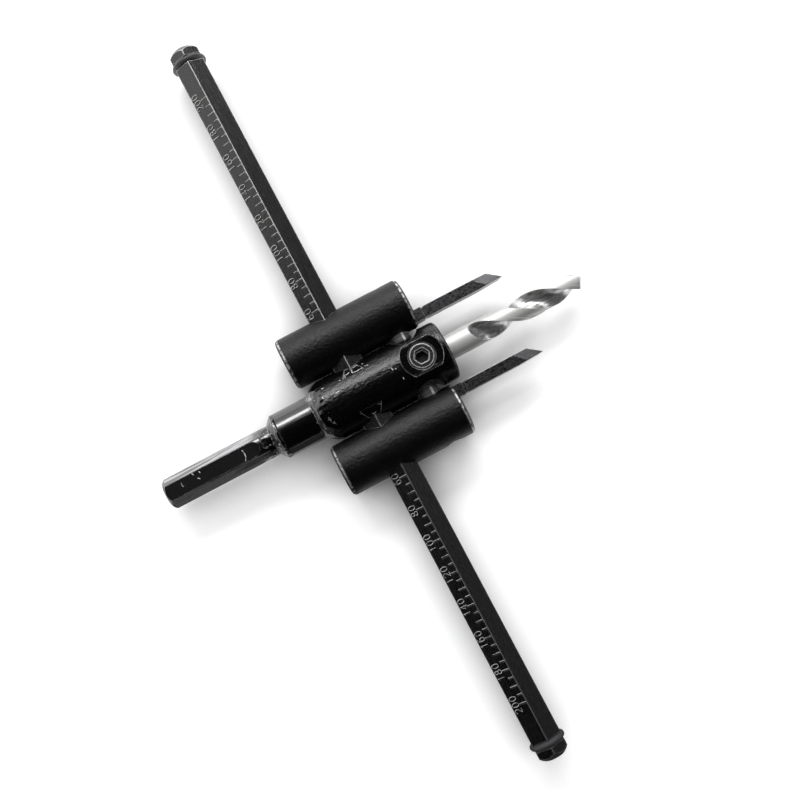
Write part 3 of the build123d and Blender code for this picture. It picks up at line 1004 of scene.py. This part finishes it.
class CUTTER_OT_stage(bpy.types.Operator):
    """Set up the white floor, the black cards, the lamps, the room and the camera"""

    bl_idname = "cutter.stage"
    bl_label = "Studio"

    def execute(self, context):
        studio = context.scene.cutter_studio
        scene = context.scene
        reach = (-PAPER_REACH, PAPER_REACH)
        level_panel("floor", reach, reach, FLOOR_Z, white_paper(studio))
        black = studio_card("black studio card", studio.black_card)
        grey = studio_card("grey studio card", studio.grey_card)
        dim = studio_card("studio card, painted floor shade", studio.dim_card)
        # The room is dark behind and overhead, and grey beyond the drill's point
        left, right = ROOM_X
        back, front = ROOM_Y
        edge = CEILING * math.tan(studio.dark_reach)
        cards = [
            level_panel("card_above", ROOM_X, (back, edge), CEILING, black),
            panel("card_behind", [(left, back, CARD_FOOT), (right, back, CARD_FOOT),
                                  (right, back, CEILING), (left, back, CEILING)], black),
            panel("card_beyond", [(right, back, CARD_FOOT), (right, front, CARD_FOOT),
                                  (right, front, CEILING), (right, back, CEILING)], grey),
        ]
        # Dim cards on the floor, seen only by the metal's lower -Y sides, are painted shade
        for number, (span, near) in enumerate(FLOOR_SHADE_CARDS, 1):
            card = level_panel("shade_card_floor_" + str(number), span, (back, near),
                               FLOOR_Z + CARD_LEVEL, dim)
            card.visible_diffuse = False
            card.visible_shadow = False
            cards.append(card)
        for card in cards:
            card.visible_camera = False

        target = middle("arbor")
        away = Vector((0, math.sin(studio.key_lean), math.cos(studio.key_lean)))
        place = target + away * studio.key_distance
        shift = Vector((studio.key_shift, 0, 0))
        area_lamp("key_lamp", place + shift, target + shift,
                  (studio.key_length, studio.key_width), studio.key_power)
        soft = area_lamp("soft_lamp", SOFT_PLACE, target, SOFT_SIZE, studio.soft_power)
        soft.visible_glossy = False

        world = bpy.data.worlds.new("white room")
        world.use_nodes = True
        world.node_tree.nodes.clear()
        room = add_node(world.node_tree, "ShaderNodeBackground",
                        {"Color": (1.0, 1.0, 1.0, 1.0), "Strength": studio.sky})
        add_node(world.node_tree, "ShaderNodeOutputWorld", {"Surface": room.outputs[0]})
        scene.world = world

        data = bpy.data.cameras.new("camera")
        data.lens = studio.lens
        data.sensor_width = SENSOR_WIDTH
        camera = bpy.data.objects.new("camera", data)
        camera.location = studio.camera_place
        camera.rotation_euler = studio.camera_turn
        scene.collection.objects.link(camera)
        scene.camera = camera
        scene.view_settings.view_transform = "Standard"
        return {"FINISHED"}


OPERATORS = (
    CUTTER_OT_black_oxide,
    CUTTER_OT_bar,
    CUTTER_OT_scale,
    CUTTER_OT_blades,
    CUTTER_OT_screws,
    CUTTER_OT_drill,
    CUTTER_OT_stage,
)


class VIEW3D_PT_circle_cutter(bpy.types.Panel):
    """Buttons for the cutter's finishes, scale and studio"""

    bl_idname = "VIEW3D_PT_circle_cutter"
    bl_label = "Circle Cutter"
    bl_space_type = "VIEW_3D"
    bl_region_type = "UI"
    bl_category = "Circle Cutter"

    def draw(self, context):
        for operator in OPERATORS:
            self.layout.operator(operator.bl_idname)


SETTINGS = {
    "cutter_finish": FinishSettings,
    "cutter_scale": ScaleSettings,
    "cutter_drill": DrillSettings,
    "cutter_studio": StudioSettings,
}


def register():
    """Add the classes and the settings to Blender."""
    for kind in tuple(SETTINGS.values()) + OPERATORS + (VIEW3D_PT_circle_cutter,):
        bpy.utils.register_class(kind)
    for name, kind in SETTINGS.items():
        setattr(bpy.types.Scene, name, bpy.props.PointerProperty(type=kind))


def unregister():
    """Take the settings and the classes out again."""
    for name in SETTINGS:
        delattr(bpy.types.Scene, name)
    for kind in (VIEW3D_PT_circle_cutter,) + OPERATORS + tuple(SETTINGS.values()):
        bpy.utils.unregister_class(kind)


def main():
    """Dress the cutter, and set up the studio."""
    register()
    bpy.ops.cutter.black_oxide()
    bpy.ops.cutter.bar()
    bpy.ops.cutter.scale()
    bpy.ops.cutter.blades()
    bpy.ops.cutter.screws()
    bpy.ops.cutter.drill()
    bpy.ops.cutter.stage()


if __name__ == "__main__":
    main()
